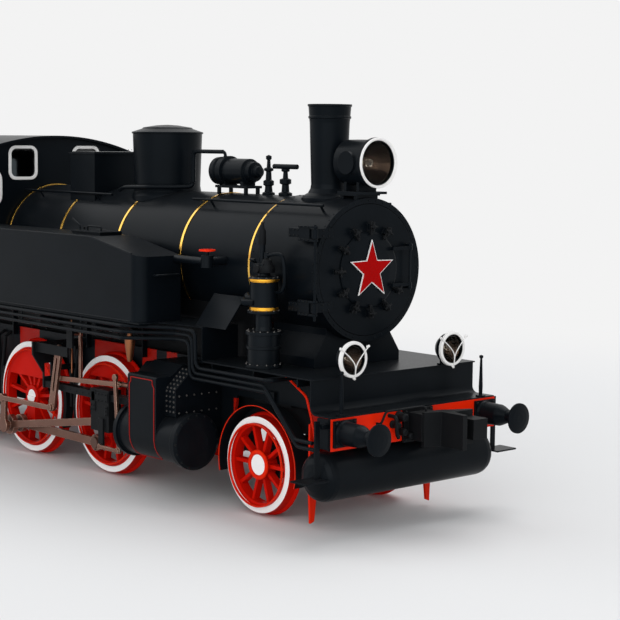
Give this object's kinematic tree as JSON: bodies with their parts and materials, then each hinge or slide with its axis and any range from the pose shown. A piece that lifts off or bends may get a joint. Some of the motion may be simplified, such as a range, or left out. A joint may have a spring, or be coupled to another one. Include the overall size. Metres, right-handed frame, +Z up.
{
  "type": "steam locomotive",
  "caption": "Side-tank steam locomotive with a round smokebox, cab, coal bunker, sprung buffers and outside motion, for hauling trains.",
  "frame": {"origin": "on the floor under the middle driving axle, on the centre plane; the middle of the length", "axes": "+X forward to the smokebox, +Y to the left-hand side, +Z up"},
  "size_m": [11.248, 2.76, 3.767],
  "materials": {
    "black_paint": "semi-gloss black paint",
    "red_paint": "semi-gloss orange-red paint",
    "star_red": "gloss red paint with a white edge",
    "black_iron": "oiled black iron",
    "motion_steel": "oiled brown-grey steel",
    "brass": "polished brass",
    "lamp_glass": "clear glass"
  },
  "bodies": {
    "locomotive": {"main_frame": "red_paint", "buffer_beams": "red_paint", "buffers": "black_paint", "couplers": "black_iron", "front_platform": "black_paint", "running_boards": "black_paint", "axle_boxes": "black_iron", "pony_trucks": "black_iron", "wheel_guards": "red_paint", "guard_irons": "red_paint", "air_tank": "black_paint", "front_steps": "black_paint", "cab_steps": "black_paint", "side_tanks": "black_paint", "boiler": "black_paint", "boiler_bands": "brass", "ash_pan": "black_iron", "smokebox": "black_paint", "saddle": "black_paint", "front_hinge": "black_paint", "chimney": "black_paint", "steam_dome": "black_paint", "sand_box": "black_paint", "turbo_generator": "black_paint", "boiler_valves": "black_paint", "head_lamp": "black_paint", "marker_lamps": "black_paint", "lamp_lenses": "lamp_glass", "handrails": "black_paint", "footplate_pipes": "black_paint", "air_pump": "black_iron", "stop_valve": "black_paint", "cylinders": "black_paint", "crossheads": "black_iron", "connecting_rods": "motion_steel", "valve_gear": "motion_steel", "motion_bracket": "black_iron", "cab_front": "black_paint", "cab_sides": "black_paint", "cab_rear": "black_paint", "cab_roof": "black_paint", "cab_floor": "black_paint", "bunker": "black_paint", "beam_posts": "black_paint", "cover_plates": "black_paint"},
    "leading_wheels": {"wheelset_leading": "red_paint"},
    "driving_wheels_1": {"wheelset_driver_1": "red_paint"},
    "driving_wheels_2": {"wheelset_driver_2": "red_paint"},
    "driving_wheels_3": {"wheelset_driver_3": "red_paint"},
    "trailing_wheels": {"wheelset_trailing": "red_paint"},
    "side_rod_right": {"coupling_rod_right": "motion_steel"},
    "side_rod_left": {"coupling_rod_left": "motion_steel"},
    "front_plate": {"smokebox_front": "black_paint"},
    "front_door": {"smokebox_door": "black_paint", "star": "star_red"},
    "door_right": {"cab_door_right": "black_paint"},
    "door_left": {"cab_door_left": "black_paint"},
    "lid_right": {"tank_lid_right": "black_paint"},
    "lid_left": {"tank_lid_left": "black_paint"}
  },
  "joints": [
    {"name": "leading_axle", "type": "hinge", "parent": "locomotive", "child": "leading_wheels", "pos_m": [3.862, 0, 0.477], "axis": [0, 1, 0], "continuous": true},
    {"name": "driving_axle_1", "type": "hinge", "parent": "locomotive", "child": "driving_wheels_1", "pos_m": [1.464, 0, 0.631], "axis": [0, 1, 0], "continuous": true},
    {"name": "driving_axle_2", "type": "hinge", "parent": "locomotive", "child": "driving_wheels_2", "pos_m": [0, 0, 0.631], "axis": [0, 1, 0], "continuous": true},
    {"name": "driving_axle_3", "type": "hinge", "parent": "locomotive", "child": "driving_wheels_3", "pos_m": [-1.464, 0, 0.631], "axis": [0, 1, 0], "continuous": true},
    {"name": "trailing_axle", "type": "hinge", "parent": "locomotive", "child": "trailing_wheels", "pos_m": [-3.862, 0, 0.477], "axis": [0, 1, 0], "continuous": true},
    {"name": "side_rod_right_pin", "type": "hinge", "parent": "driving_wheels_2", "child": "side_rod_right", "pos_m": [0, -0.93, 0.351], "axis": [0, 1, 0], "continuous": true},
    {"name": "side_rod_left_pin", "type": "hinge", "parent": "driving_wheels_2", "child": "side_rod_left", "pos_m": [-0.28, 0.93, 0.631], "axis": [0, 1, 0], "continuous": true},
    {"name": "front_plate_hinge", "type": "hinge", "parent": "locomotive", "child": "front_plate", "pos_m": [4.499, -0.69, 2.268], "axis": [0, 0, -1], "range_deg": [0, 100]},
    {"name": "front_door_hinge", "type": "hinge", "parent": "front_plate", "child": "front_door", "pos_m": [4.512, 0.475, 2.268], "axis": [0, 0, 1], "range_deg": [0, 110]},
    {"name": "cab_door_right_hinge", "type": "hinge", "parent": "locomotive", "child": "door_right", "pos_m": [-2.695, -1.312, 2.1], "axis": [0, 0, -1], "range_deg": [0, 100]},
    {"name": "cab_door_left_hinge", "type": "hinge", "parent": "locomotive", "child": "door_left", "pos_m": [-2.695, 1.312, 2.1], "axis": [0, 0, 1], "range_deg": [0, 100]},
    {"name": "tank_lid_right_hinge", "type": "hinge", "parent": "locomotive", "child": "lid_right", "pos_m": [1.57, -0.862, 2.511], "axis": [-1, 0, 0], "range_deg": [0, 100]},
    {"name": "tank_lid_left_hinge", "type": "hinge", "parent": "locomotive", "child": "lid_left", "pos_m": [1.57, 0.862, 2.511], "axis": [1, 0, 0], "range_deg": [0, 100]}
  ],
  "couplings": [
    {"joint": "driving_axle_1", "follows": "driving_axle_2", "ratio": 1},
    {"joint": "driving_axle_3", "follows": "driving_axle_2", "ratio": 1},
    {"joint": "side_rod_right_pin", "follows": "driving_axle_2", "ratio": -1},
    {"joint": "side_rod_left_pin", "follows": "driving_axle_2", "ratio": -1}
  ]
}
